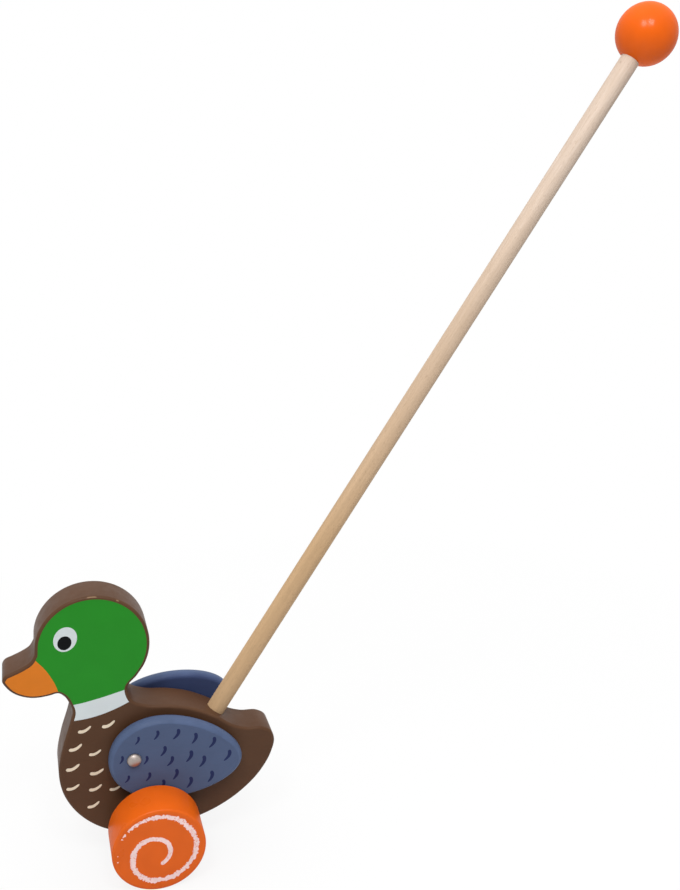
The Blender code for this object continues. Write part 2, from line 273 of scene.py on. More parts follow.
BEECH_FLECKS = (0.00045, 0.00045, 0.0035)
BEECH_FOOT_CONTRAST = 0.09
BEECH_TOP_CONTRAST = 0.06
BEECH_FIBRE_SHARE = 0.28
BEECH_FIBRE_SHADE = 0.78
BEECH_FLECK_SHARE = 0.4
BEECH_FLECK_SPAN = (0.66, 0.74)
BEECH_FLECK_SHADE = 0.5
BEECH_ROUGHNESS = (0.62, 0.48)
BEECH_GLOSS = 0.12
BEECH_DEPTH = 0.00006
METAL_SCUFFS = (0.0012, 0.0003, 0.0012)
METAL_CONTRAST = 0.06
METAL_ROUGHNESS_SPREAD = (-0.04, 0.08)
METAL_DEPTH = 0.000002
FIBRE_SPECKLE = (0.0005, 0.0005, 0.0005)
FIBRE_CONTRAST = 0.25
FIBRE_ROUGHNESS = 0.85
FIBRE_DEPTH = 0.00008

# Camera, turned to the right and tilted down, with its focal length in pixels of the frame
FRAME_HEIGHT = 890
FOCAL_PIXELS = 1081.3
SENSOR = 36
CAMERA_FROM_AXLE = (-0.05017, -0.61389, 0.44746)
CAMERA_TURN = 16.422
CAMERA_DROP = 18.299

# Lamps
KEY_PLACE = (-0.170, -0.598, 1.041)
KEY_AIM = (0.03, 0.0, 0.28)
KEY_SIZE = (0.23, 0.30)
KEY_GAP = 0.15
KEY_POWER = 3.3

# World: the levels that light the toy, spread over a direction's Y or Z
FILL_LEVEL = 0.5
FRONT_LEVEL = 0.25
FRONT_SPAN = (-0.8, 0.3)
TOP_LEVEL = 2.7
TOP_SPAN = (0.45, 0.90)

# Floor: its colours near and far, and how white it looks near the toy
FLOOR_DROP = 0.0002
FLOOR_COLOUR = (0.72, 0.72, 0.72, 1)
FAR_FLOOR_COLOUR = (0.36, 0.36, 0.36, 1)
FLOOR_FALL = (0.40, 0.90)
FLOOR_RADIUS = 4.0
FLOOR_ROUGHNESS = 0.9
FLOOR_SHEEN = 0.1
FLOOR_WHITE = 0.86
FLOOR_WHITE_SPAN = (0.2, 0.5)


def middle_of(node):
    """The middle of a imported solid's box."""
    low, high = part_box(node)
    return (low + high) / 2


AXLE = middle_of("axle")
PIN = middle_of("wing_pin")
BODY_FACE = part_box("duck_body")[1].y
WING_FACES = (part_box("wing_right")[0].y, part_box("wing_right")[1].y)
WHEEL_FACES = (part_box("wheel_right")[0].y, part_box("wheel_right")[1].y)
CAP_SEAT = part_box("pin_cap_right")[0].y
ROD_MIDDLE = middle_of("handle_rod")
BALL_MIDDLE = middle_of("handle_ball")
BALL_RADIUS = (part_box("handle_ball")[1].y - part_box("handle_ball")[0].y) / 2
ROD_TURN = Matrix.Rotation(radians(90 - ROD_LEAN), 4, "Y")


# Outlines

def on_circle(centre, radius, angle):
    """The point of a circle at an angle from +X."""
    return (centre[0] + radius * cos(radians(angle)), centre[1] + radius * sin(radians(angle)))


def oval(centre, size, sides, tilt=0):
    """The points of an oval, turned by a tilt in degrees."""
    turns = [tau * i / sides for i in range(sides)]
    points = [Vector((size[0] / 2 * cos(turn), size[1] / 2 * sin(turn))) for turn in turns]
    return [Vector(centre) + point for point in turned_points(points, tilt)]


def smooth(points, step=OUTLINE_STEP):
    """Points along a smooth curve through the given ones, without the last, about a step apart."""
    knots = [Vector(point) for point in points]
    tangents = []
    for i, knot in enumerate(knots):
        before = knots[max(i - 1, 0)]
        after = knots[min(i + 1, len(knots) - 1)]
        run_in = (knot - before).length
        run_out = (after - knot).length
        if not run_in or not run_out:
            tangents.append((after - before).normalized())
        else:
            arriving = (knot - before) / run_in
            leaving = (after - knot) / run_out
            tangents.append((arriving * run_out + leaving * run_in) / (run_in + run_out))
    curve = []
    for i in range(len(knots) - 1):
        chord = (knots[i + 1] - knots[i]).length
        reach = chord / 3
        steps = ceil(chord / step)
        curve += interpolate_bezier(knots[i], knots[i] + tangents[i] * reach,
                                    knots[i + 1] - tangents[i + 1] * reach, knots[i + 1], steps + 1)[:-1]
    return curve


def duck_outline():
    """The duck's side view, counter-clockwise: bill, breast, belly, tail, back and head."""
    head = []
    for i in range(HEAD_KNOTS + 1):
        angle = BILL_TOP_ANGLE + (NECK_ANGLE - BILL_TOP_ANGLE) * i / HEAD_KNOTS
        head.append(on_circle(HEAD_CENTRE, HEAD_RADIUS, angle))
    head_edge = HEAD_CENTRE[0] - HEAD_RADIUS
    bill = [(head_edge - share * BILL_LENGTH, HEAD_CENTRE[1] - drop) for share, drop in BILL]
    return smooth(head + NECK_AND_BACK + TAIL + BELLY + BREAST + bill + [head[0]])[::-1]


def wing_outline():
    """An egg with its blunt end forward, hung at WING_TILT, from the wing pin, counter-clockwise."""
    half = WING_LENGTH / 2
    points = []
    for i in range(WING_SIDES):
        turn = tau * i / WING_SIDES
        along = half - PIN_FROM_WING_FRONT + half * cos(turn)
        across = WING_HEIGHT / 2 * sin(turn) * (1 - WING_TAPER * cos(turn)) - PIN_ABOVE_WING_LINE
        points.append(Vector((along, across)))
    return turned_points(points, WING_TILT)


def turned_points(points, angle):
    """Points turned about the origin, in degrees."""
    turn = Matrix.Rotation(radians(angle), 2)
    return [turn @ point for point in points]


def runs_clockwise(shape):
    """Whether a closed shape's points run clockwise."""
    return sum(a.cross(b) for a, b in zip(shape, shape[1:] + shape[:1])) < 0


def inset(outline, distance):
    """A counter-clockwise outline moved inwards along its own normals."""
    moved = []
    for i, point in enumerate(outline):
        along = (outline[(i + 1) % len(outline)] - outline[i - 1]).normalized()
        moved.append(point + distance * Vector((-along.y, along.x)))
    return moved


def bent(t, start, middle, end):
    """The value a share t of the way along a curve that leaves start towards middle and arrives at end."""
    return (1 - t) ** 2 * start + 2 * t * (1 - t) * middle + t ** 2 * end


def round_end(share):
    """How wide a round end is at a share of its length."""
    return sqrt(max(1 - (1 - min(share, 1)) ** 2, 0))


def tick(centre, bend, widths, size=1, angle=0):
    """A brush tick: a round-ended stroke along a bent line, with its widths at start, middle and end."""
    start, turn, end = [size * point for point in turned_points([Vector(point) for point in bend], angle)]
    upper = []
    lower = []
    for i in range(TICK_STEPS + 1):
        t = (1 - cos(pi * i / TICK_STEPS)) / 2
        along = bent(t, turn - start, (end - start) / 2, end - turn).normalized()
        half = size * bent(t, *widths) / 2 * round_end(t / TICK_END) * round_end((1 - t) / TICK_END)
        side = half * Vector((-along.y, along.x))
        point = Vector(centre) + bent(t, start, turn, end)
        upper.append(point + side)
        lower.append(point - side)
    return upper + lower[-2:0:-1]


def inside(point, shape):
    """Whether a point lies in a closed shape."""
    crossings = 0
    for a, b in zip(shape, shape[1:] + shape[:1]):
        if (a.y > point.y) != (b.y > point.y):
            crossings += point.x < a.x + (point.y - a.y) * (b.x - a.x) / (b.y - a.y)
    return crossings % 2 == 1


# Meshes

def loft(mesh_data, rings):
    """Joins rings of points with faces and returns the rings' vertices; a ring of one point is a pole."""
    rows = [[mesh_data.verts.new(point) for point in ring] for ring in rings]
    for low, high in zip(rows, rows[1:]):
        for i in range(max(len(low), len(high))):
            if len(low) == 1:
                corners = [low[0], high[i], high[i - 1]]
            elif len(high) == 1:
                corners = [low[i - 1], low[i], high[0]]
            else:
                corners = [low[i - 1], low[i], high[i], high[i - 1]]
            mesh_data.faces.new(corners).smooth = True
    return rows


def split_rim(mesh_data, rim, shapes):
    """Adds a vertex to a flat face's rim wherever a printed shape's edge crosses it."""
    for shape in shapes:
        for a, b in zip(shape, shape[1:] + shape[:1]):
            i = 0
            while i < len(rim):
                first = rim[i]
                second = rim[(i + 1) % len(rim)]
                start = Vector((first.co.x, first.co.z))
                end = Vector((second.co.x, second.co.z))
                meeting = intersect_line_line_2d(start, end, a, b)
                if meeting is not None:
                    share = (meeting - start).length / (end - start).length
                    if RIM_MARGIN < share < 1 - RIM_MARGIN:
                        line = mesh_data.edges.get((first, second))
                        added = bmesh.utils.edge_split(line, first, share)[1]
                        rim.insert(i + 1, added)
                        i += 1
                i += 1


def fill_face(mesh_data, rim, prints, holes):
    """Fills a flat face in a Y plane inside its rim, with its prints, and returns the holes' rims.

    A print is (material index, shape), and a later print lies over an earlier one.
    """
    if runs_clockwise([vertex.co.xz for vertex in rim]):
        rim = rim[::-1]
    shapes = [[vertex.co.xz for vertex in rim]] + [shape for _, shape in prints] + holes
    shapes = [shape[::-1] if runs_clockwise(shape) else shape for shape in shapes]
    corners = []
    loops = []
    for shape in shapes:
        loops.append(list(range(len(corners), len(corners) + len(shape))))
        corners += [point * FILL_SCALE for point in shape]
    filled = delaunay_2d_cdt(corners, [], loops, FILL_INSIDE, FILL_MERGE)
    places, _, triangles, sources, _, owners = filled
    level = rim[0].co.y
    vertices = {}
    came_from = {}
    for i, origins in enumerate(sources):
        for origin in origins:
            came_from[origin] = i
            if origin < len(rim):
                vertices[i] = rim[origin]

    def vertex(i):
        """The mesh's vertex at a place of the triangles, added where there is none."""
        if i not in vertices:
            vertices[i] = mesh_data.verts.new((places[i].x / FILL_SCALE, level, places[i].y / FILL_SCALE))
        return vertices[i]

    for triangle, owner in zip(triangles, owners):
        if 0 in owner and max(owner) <= len(prints):
            face = mesh_data.faces.new([vertex(i) for i in triangle])
            face.smooth = True
            face.material_index = prints[max(owner) - 1][0] if max(owner) else COAT
    return [[vertex(came_from[i]) for i in loop] for loop in loops[1 + len(prints):]]


def rounded(width, depth, start):
    """Steps (inset, drop, wear and painted sheen) over a rounded edge, from just inside its flat face to its
    wall.
    """
    first = radians(start)
    steps = [(width + SUPPORT, 0, 0)]
    for i in range(EDGE_STEPS + 1):
        turn = first + (pi / 2 - first) * i / EDGE_STEPS
        inset_share = (1 - sin(turn)) / (1 - sin(first))
        drop_share = (cos(first) - cos(turn)) / cos(first)
        steps.append((width * inset_share, depth * drop_share, sin(2 * turn)))
    return steps


def board(outline, low, high, edges, prints, holes, wrapped=()):
    """A sawn board from Y plane low to high: rounded edges, prints on both faces and holes through it.

    edges and prints hold the low face's and then the high face's. A wrapped print is (material index, shape,
    inset): it runs on over the edges, which are then quarter rounds alike, up to that inset from the outline.
    """
    mesh_data = bmesh.new()
    edge_wear_and_sheen = mesh_data.verts.layers.float.new("edge")
    levels = [(inward, low + drop, share) for inward, drop, share in rounded(*edges[0])]
    levels += [(inward, high - drop, share) for inward, drop, share in reversed(rounded(*edges[1]))]
    rings = []
    for inward, level, _ in levels:
        rings.append([(point.x, level, point.y) for point in inset(outline, inward)])
    rows = loft(mesh_data, rings)
    for row, (_, _, share) in zip(rows, levels):
        for vertex in row:
            vertex[edge_wear_and_sheen] = share
    edge = edges[0][0]
    for material, shape, limit in wrapped:
        near = [face for face in mesh_data.faces
                if low + edge > face.calc_center_median().y or face.calc_center_median().y > high - edge]
        for face in near:
            centre = face.calc_center_median()
            past = max(low + edge - centre.y, centre.y - high + edge)
            flat = sqrt(max(edge ** 2 - past ** 2, 0))
            if edge - flat > limit and inside(Vector((centre.x, centre.z)), shape):
                face.material_index = material
    rims = []
    for row, face_prints in zip((rows[0], rows[-1]), prints):
        split_rim(mesh_data, row, [shape for _, shape in face_prints])
        rims.append(fill_face(mesh_data, row, face_prints, holes))
    for near, far in zip(*rims):
        for i in range(len(near)):
            mesh_data.faces.new((near[i - 1], near[i], far[i], far[i - 1])).smooth = True
    return mesh_data


def turned(profile, sides):
    """A piece turned about Z from (radius, height) points, and its rings of vertices."""
    mesh_data = bmesh.new()
    rings = []
    for radius, height in profile:
        turns = [tau * i / sides for i in range(sides)] if radius else [0]
        rings.append([(radius * cos(turn), radius * sin(turn), height) for turn in turns])
    rows = loft(mesh_data, rings)
    return mesh_data, rows


def make_piece(name, mesh_data, materials, body, slot, *nodes):
    """Makes the named piece from a mesh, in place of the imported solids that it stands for."""
    bmesh.ops.recalc_face_normals(mesh_data, faces=mesh_data.faces)
    mesh = bpy.data.meshes.new(name)
    mesh_data.to_mesh(mesh)
    mesh_data.free()
    mesh.set_sharp_from_angle(angle=radians(SMOOTH_BELOW))
    for material in materials:
        mesh.materials.append(material)
    piece = bpy.data.objects.new(name, mesh)
    bpy.context.scene.collection.objects.link(piece)
    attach(piece, body)
    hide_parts(*nodes)
    return piece


def cut(piece, cutter_data):
    """Cuts a closed mesh out of a piece."""
    bmesh.ops.recalc_face_normals(cutter_data, faces=cutter_data.faces)
    mesh = bpy.data.meshes.new("cutter")
    cutter_data.to_mesh(mesh)
    cutter_data.free()
    cutter = bpy.data.objects.new("cutter", mesh)
    bpy.context.scene.collection.objects.link(cutter)
    modifier = piece.modifiers.new("cut", "BOOLEAN")
    modifier.object = cutter
    modifier.operation = "DIFFERENCE"
    modifier.solver = "EXACT"
    graph = bpy.context.evaluated_depsgraph_get()
    result = bpy.data.meshes.new_from_object(piece.evaluated_get(graph))
    piece.modifiers.clear()
    piece.data = result
    result.set_sharp_from_angle(angle=radians(SMOOTH_BELOW))
    bpy.data.objects.remove(cutter)


# Materials

def linear(colour, strength=1):
    """A display colour of 0 to 255 as a shader's linear values, by the sRGB curve, times a strength."""
    shares = [value / 255 for value in colour]
    shares = [share / 12.92 if share <= 0.04045 else ((share + 0.055) / 1.055) ** 2.4 for share in shares]
    return [min(share * strength, 1) for share in shares] + [1]


class Nodes:
    """A node tree under construction."""

    def __init__(self, tree):
        self.tree = tree

    def add(self, kind, **settings):
        """A new node with these settings."""
        node = self.tree.nodes.new(kind)
        for name, value in settings.items():
            setattr(node, name, value)
        return node

    def put(self, socket, value):
        """Sets a socket, or links another node's output to it."""
        if isinstance(value, bpy.types.NodeSocket):
            self.tree.links.new(value, socket)
        else:
            socket.default_value = value

    def spread(self, value, start, end, low=NOISE_LOW, high=NOISE_HIGH):
        """A value between low and high, spread between start and end."""
        node = self.add("ShaderNodeMapRange")
        self.put(node.inputs["Value"], value)
        self.put(node.inputs["From Min"], low)
        self.put(node.inputs["From Max"], high)
        self.put(node.inputs["To Min"], start)
        self.put(node.inputs["To Max"], end)
        return node.outputs["Result"]

    def math(self, operation, first, second):
        """The result of an operation on two values."""
        node = self.add("ShaderNodeMath", operation=operation)
        self.put(node.inputs[0], first)
        self.put(node.inputs[1], second)
        return node.outputs[0]


class Finish(Nodes):
    """A material under construction."""

    def __init__(self, name):
        self.material = bpy.data.materials.new(name)
        self.material.use_nodes = True
        super().__init__(self.material.node_tree)
        self.shader = self.tree.nodes["Principled BSDF"]
        self.place = self.add("ShaderNodeTexCoord").outputs["Object"]

    def noise(self, size, detail=2, turn=0):
        """Noise, mostly from NOISE_LOW to NOISE_HIGH, with features of a size, turned about Y."""
        mapping = self.add("ShaderNodeMapping", vector_type="TEXTURE")
        self.put(mapping.inputs["Vector"], self.place)
        self.put(mapping.inputs["Rotation"], (0, turn, 0))
        self.put(mapping.inputs["Scale"], size)
        texture = self.add("ShaderNodeTexNoise")
        self.put(texture.inputs["Vector"], mapping.outputs["Vector"])
        self.put(texture.inputs["Scale"], 1)
        self.put(texture.inputs["Detail"], detail)
        return texture.outputs["Fac"]

    def mix(self, share, first, second):
        """Two colours mixed."""
        node = self.add("ShaderNodeMix", data_type="RGBA")
        self.put(node.inputs["Factor"], share)
        self.put(node.inputs["A"], first)
        self.put(node.inputs["B"], second)
        return node.outputs["Result"]

    def mottle(self, value, colour, contrast):
        """A colour that varies from darker to brighter with a value."""
        share = self.spread(value, 0, 1)
        return self.mix(share, linear(colour, 1 - contrast), linear(colour, 1 + contrast))

    def bump(self, height, depth):
        """Relief whose highest point stands that far above its lowest."""
        node = self.add("ShaderNodeBump")
        self.put(node.inputs["Strength"], 1)
        self.put(node.inputs["Distance"], depth)
        self.put(node.inputs["Height"], height)
        self.put(self.shader.inputs["Normal"], node.outputs["Normal"])
        self.put(self.shader.inputs["Coat Normal"], node.outputs["Normal"])

    def set(self, **values):
        """Sets the shader's inputs, with underscores for spaces in their names."""
        for name, value in values.items():
            self.put(self.shader.inputs[name.replace("_", " ")], value)


def paint(name, colour, roughness, contrast=PAINT_CONTRAST, gloss=PAINT_GLOSS, grain=PAINT_GRAIN,
          fibre=FIBRE_SHARE, chips=(), inner=None):
    """Brushed paint on wood: faint patches, fibres along X, thinner paint and painted sheen on edges, and
    chips.

    Where the mesh has an "inner" value, the colour goes over to the inner one: on the wings, painted shade.
    """
    finish = Finish(name)
    patches = finish.noise(PAINT_PATCHES, detail=3)
    fibres = finish.noise(PAINT_FIBRES)
    specks = finish.noise(PAINT_SPECKS, detail=1)
    base = finish.mottle(patches, colour, contrast)
    if inner is not None:
        share = finish.add("ShaderNodeAttribute", attribute_name="inner").outputs["Fac"]
        base = finish.mix(share, base, finish.mottle(patches, inner, contrast))
    base = finish.mix(finish.spread(fibres, fibre, 0, *FIBRE_SPAN), base, linear(colour, FIBRE_SHADE))
    # The middle of each rounded edge turns paler: thinner paint and a painted highlight together.
    edge = finish.add("ShaderNodeAttribute", attribute_name="edge").outputs["Fac"]
    thin_and_sheen = finish.math("MULTIPLY", edge, finish.spread(patches, 0, EDGE_WEAR_AND_SHEEN))
    base = finish.mix(thin_and_sheen, base, linear(colour, WORN_AND_SHEEN_SHADE))
    for place, size in chips:
        distance = finish.add("ShaderNodeVectorMath", operation="DISTANCE")
        finish.put(distance.inputs[0], finish.place)
        finish.put(distance.inputs[1], place)
        jag = CHIP_RAGGEDNESS * size
        ragged = finish.math("ADD", distance.outputs["Value"], finish.spread(specks, -jag, jag))
        near = finish.spread(ragged, CHIP_SHARE, 0, CHIP_CORE * size, size)
        on_edge = finish.spread(edge, 0, 1, *CHIP_EDGE_SPAN)
        base = finish.mix(finish.math("MULTIPLY", near, on_edge), base, linear(BEECH))
    clouds = finish.noise(PAINT_CLOUDS)
    rough = finish.spread(clouds, roughness - PAINT_ROUGHNESS_SPREAD, roughness + PAINT_ROUGHNESS_SPREAD)
    finish.set(Base_Color=base, Roughness=rough, Specular_IOR_Level=gloss)
    finish.bump(finish.math("ADD", fibres, specks), grain)
    return finish.material


def lacquer(name, colour, roughness, gloss, wave):
    """Glossy lacquer on turned wood: slight patches and the shallow waves of a sprayed coat."""
    finish = Finish(name)
    patches = finish.noise(LACQUER_PATCHES, detail=1)
    waves = finish.noise(LACQUER_WAVES)
    base = finish.mottle(patches, colour, LACQUER_CONTRAST)
    rough = finish.spread(patches, roughness - LACQUER_ROUGHNESS_SPREAD, roughness + LACQUER_ROUGHNESS_SPREAD)
    finish.set(Base_Color=base, Roughness=LACQUER_BASE_ROUGHNESS, Specular_IOR_Level=0,
               Coat_Roughness=rough, Coat_Weight=gloss)
    finish.bump(waves, wave)
    return finish.material


def stamp_paint(name, colour, beneath, roughness):
    """Paint from a sponge: pinholes and thin patches let the coat beneath show."""
    finish = Finish(name)
    base = finish.mottle(finish.noise(STAMP_PATCHES, detail=3), colour, STAMP_CONTRAST)
    holes = finish.spread(finish.noise(STAMP_HOLES), STAMP_HOLE_SHARE, 0, *STAMP_HOLE_SPAN)
    base = finish.mix(holes, base, linear(beneath))
    finish.set(Base_Color=base, Roughness=roughness, Specular_IOR_Level=STAMP_GLOSS)
    finish.bump(finish.noise(STAMP_RELIEF), STAMP_DEPTH)
    return finish.material


def beech(name, turn, foot, top, rise):
    """Bare beech along Z turned about Y: soft streaks, fine fibres and flecks, and painted light from foot to
    top colour.
    """
    finish = Finish(name)
    height = finish.add("ShaderNodeSeparateXYZ")
    finish.put(height.inputs[0], finish.place)
    streaks = finish.noise(BEECH_STREAKS, detail=3, turn=turn)
    fibres = finish.noise(BEECH_FIBRES, turn=turn)
    flecks = finish.noise(BEECH_FLECKS, detail=1, turn=turn)
    # Painted light: the wood pales upwards, from the foot colour to the top colour, between the heights in
    # rise.
    painted_light = finish.spread(height.outputs["Z"], 0, 1, *rise)
    at_foot = finish.mottle(streaks, foot, BEECH_FOOT_CONTRAST)
    lit_top = finish.mottle(streaks, top, BEECH_TOP_CONTRAST)
    base = finish.mix(painted_light, at_foot, lit_top)
    base = finish.mix(finish.spread(fibres, BEECH_FIBRE_SHARE, 0), base, linear(foot, BEECH_FIBRE_SHADE))
    dark_flecks = finish.spread(flecks, 0, BEECH_FLECK_SHARE, *BEECH_FLECK_SPAN)
    base = finish.mix(dark_flecks, base, linear(foot, BEECH_FLECK_SHADE))
    rough = finish.spread(fibres, *BEECH_ROUGHNESS)
    finish.set(Base_Color=base, Roughness=rough, Specular_IOR_Level=BEECH_GLOSS)
    finish.bump(fibres, BEECH_DEPTH)
    return finish.material


def metal(name, colour, roughness):
    """Pressed metal: fine scuffs in its polish."""
    finish = Finish(name)
    scuffs = finish.noise(METAL_SCUFFS, detail=3)
    smoother, rougher = METAL_ROUGHNESS_SPREAD
    rough = finish.spread(scuffs, roughness + smoother, roughness + rougher)
    finish.set(Base_Color=finish.mottle(scuffs, colour, METAL_CONTRAST), Metallic=1, Roughness=rough)
    finish.bump(scuffs, METAL_DEPTH)
    return finish.material


def fibre_board(name):
    """Pressed fibre: a felted speckle."""
    finish = Finish(name)
    speckle = finish.noise(FIBRE_SPECKLE, detail=4)
    finish.set(Base_Color=finish.mottle(speckle, FIBRE, FIBRE_CONTRAST), Roughness=FIBRE_ROUGHNESS)
    finish.bump(speckle, FIBRE_DEPTH)
    return finish.material


# Pieces

def from_axle(shape):
    """A shape's points in the toy's frame."""
    return [Vector((point[0] + AXLE.x, point[1] + AXLE.z)) for point in shape]


def body_prints():
    """The prints on each face of the body, and the shape that holds the bill's underside.

    Head, bill and collar run on past the board's outline, which trims them.
    """
    seam = [Vector(point) for point in smooth(BILL_SEAM)] + [Vector(BILL_SEAM[-1])]
    top = smooth(COLLAR_TOP) + [Vector(COLLAR_TOP[-1])]
    foot = smooth(COLLAR_FOOT) + [Vector(COLLAR_FOOT[-1])]
    above = HEAD_CENTRE[1] + PRINT_OVERHANG * HEAD_RADIUS
    behind = HEAD_CENTRE[0] + PRINT_OVERHANG * HEAD_RADIUS
    ahead = HEAD_CENTRE[0] - HEAD_RADIUS - PRINT_OVERHANG * BILL_LENGTH
    head = seam + top + [Vector((behind, COLLAR_TOP[-1][1])), Vector((behind, above))]
    head.append(Vector((BILL_SEAM[0][0], above)))
    bill = seam + [Vector((ahead, BILL_SEAM[-1][1])), Vector((ahead, BILL_SEAM[0][1]))]
    collar = top + foot[::-1]
    shapes = [(HEAD_PRINT, head), (BILL_PRINT, bill), (WHITE_PRINT, collar),
              (WHITE_PRINT, oval(EYE_PLACE, EYE_SIZE, EYE_SIDES, EYE_TILT)),
              (BLACK_PRINT, oval(PUPIL_PLACE, PUPIL_SIZE, PUPIL_SIDES, EYE_TILT))]
    draws = random.Random(BREAST_SEED)
    for place in BREAST_TICKS:
        size = draws.uniform(*BREAST_TICK_SIZES)
        angle = draws.uniform(-BREAST_TICK_TURN, BREAST_TICK_TURN)
        shapes.append((CREAM_PRINT, tick(place, BREAST_TICK, BREAST_TICK_WIDTHS, size, angle)))
    tip = HEAD_CENTRE[1] - max(BILL)[1]
    under = [point for point in seam if point.y < tip]
    under = under + [Vector((ahead, under[-1].y)), Vector((ahead, tip)), Vector((under[0].x, tip))]
    return [(material, from_axle(shape)) for material, shape in shapes], from_axle(under)


def make_body():
    """The painted board, with the rod's slanted socket cut into its back."""
    chips = [(Vector(place) + Vector((AXLE.x, 0, AXLE.z)), size) for place, size in CHIPS]
    materials = [
        paint("brown_paint", BROWN, roughness=0.45, chips=chips),
        paint("green_print", GREEN, roughness=0.42, contrast=0.03, grain=PRINT_GRAIN, fibre=0.03),
        paint("bill_print", BILL_ORANGE, roughness=0.42, contrast=0.04, grain=PRINT_GRAIN, fibre=0.03),
        paint("white_print", WHITE, roughness=0.45, contrast=0.02, grain=PRINT_GRAIN, fibre=0.02),
        paint("black_print", BLACK, roughness=0.42, contrast=0.10, gloss=0.07, grain=PRINT_GRAIN, fibre=0.03),
        paint("cream_print", CREAM, roughness=0.50, contrast=0.05, grain=PRINT_GRAIN, fibre=0.03),
    ]
    prints, bill = body_prints()
    holes = [from_axle(oval((0, 0), (AXLE_HOLE, AXLE_HOLE), HOLE_SIDES)),
             oval((PIN.x, PIN.z), (PIN_HOLE, PIN_HOLE), HOLE_SIDES)]
    wrapped = [(BILL_PRINT, bill, BILL_PRINT_INSET)]
    mesh_data = board(from_axle(duck_outline()), -BODY_FACE, BODY_FACE, (BODY_EDGE, BODY_EDGE),
                      (prints, prints), holes, wrapped)
    body = make_piece("painted_body", mesh_data, materials, "body", "brown_paint", "duck_body")
    gap = (SOCKET_DIAMETER - ROD_DIAMETER) / 2
    low = -ROD_LENGTH / 2 - gap
    socket, _ = turned([(0, low), (SOCKET_DIAMETER / 2, low), (SOCKET_DIAMETER / 2, 0), (0, 0)], ROD_SIDES)
    bmesh.ops.transform(socket, matrix=Matrix.Translation(ROD_MIDDLE) @ ROD_TURN, verts=socket.verts)
    cut(body, socket)


def make_handle():
    """The bare rod, and the lacquered ball on its upper end."""
    radius = ROD_DIAMETER / 2
    half = ROD_LENGTH / 2
    profile = [(0, -half), (radius - ROD_CHAMFER, -half), (radius, ROD_CHAMFER - half)]
    profile += [(reach, -height) for reach, height in reversed(profile)]
    rod, _ = turned(profile, ROD_SIDES)
    bmesh.ops.transform(rod, matrix=Matrix.Translation(ROD_MIDDLE) @ ROD_TURN, verts=rod.verts)
    # Painted light: the rod pales towards its top over these heights.
    low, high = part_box("handle_rod")
    rise = [low.z + share * (high.z - low.z) for share in ROD_PAINTED_LIGHT_SPAN]
    wood = beech("rod_beech", radians(90 - ROD_LEAN), BEECH, LIT_BEECH, rise)
    make_piece("beech_rod", rod, [wood], "body", "beech", "handle_rod")

    bore = BALL_BORE / 2
    mouth = sqrt(BALL_RADIUS ** 2 - bore ** 2)
    bore_end = BALL_BORE_DEPTH - BALL_RADIUS
    profile = [(0, bore_end), (bore, bore_end), (bore, -mouth)]
    for i in range(1, BALL_RINGS + 1):
        height = -mouth + (BALL_RADIUS + mouth) * (1 - cos(pi * i / BALL_RINGS)) / 2
        profile.append((sqrt(max(BALL_RADIUS ** 2 - height ** 2, 0)) if i < BALL_RINGS else 0, height))
    ball, _ = turned(profile, BALL_SIDES)
    bmesh.ops.transform(ball, matrix=Matrix.Translation(BALL_MIDDLE) @ ROD_TURN, verts=ball.verts)
    coat = lacquer("ball_lacquer", BALL_ORANGE, roughness=0.22, gloss=0.36, wave=0.000003)
    make_piece("lacquered_ball", ball, [coat], "body", "orange_lacquer", "handle_ball")


def wander(count, draws):
    """Random numbers from -1 to 1 that drift slowly and jump from each to the next."""
    slow = [draws.uniform(-1, 1) for _ in range(count // DRIFT_STEPS + 2)]
    numbers = []
    for i in range(count):
        share = i % DRIFT_STEPS / DRIFT_STEPS
        drift = slow[i // DRIFT_STEPS] * (1 - share) + slow[i // DRIFT_STEPS + 1] * share
        numbers.append(DRIFT_SHARE * drift + (1 - DRIFT_SHARE) * draws.uniform(-1, 1))
    return numbers


def spiral_half_width(t):
    """Half the spiral's width a share t of the way along it."""
    swelling = SPIRAL_START_WIDTH + (SPIRAL_WIDTH - SPIRAL_START_WIDTH) * min(t / SPIRAL_SWELL, 1)
    fading = SPIRAL_END_WIDTH + (SPIRAL_WIDTH - SPIRAL_END_WIDTH) * (1 - t) / SPIRAL_FADE
    start = SPIRAL_BLUNTNESS + (1 - SPIRAL_BLUNTNESS) * round_end(t / SPIRAL_ROUND)
    return min(swelling, fading) / 2 * start


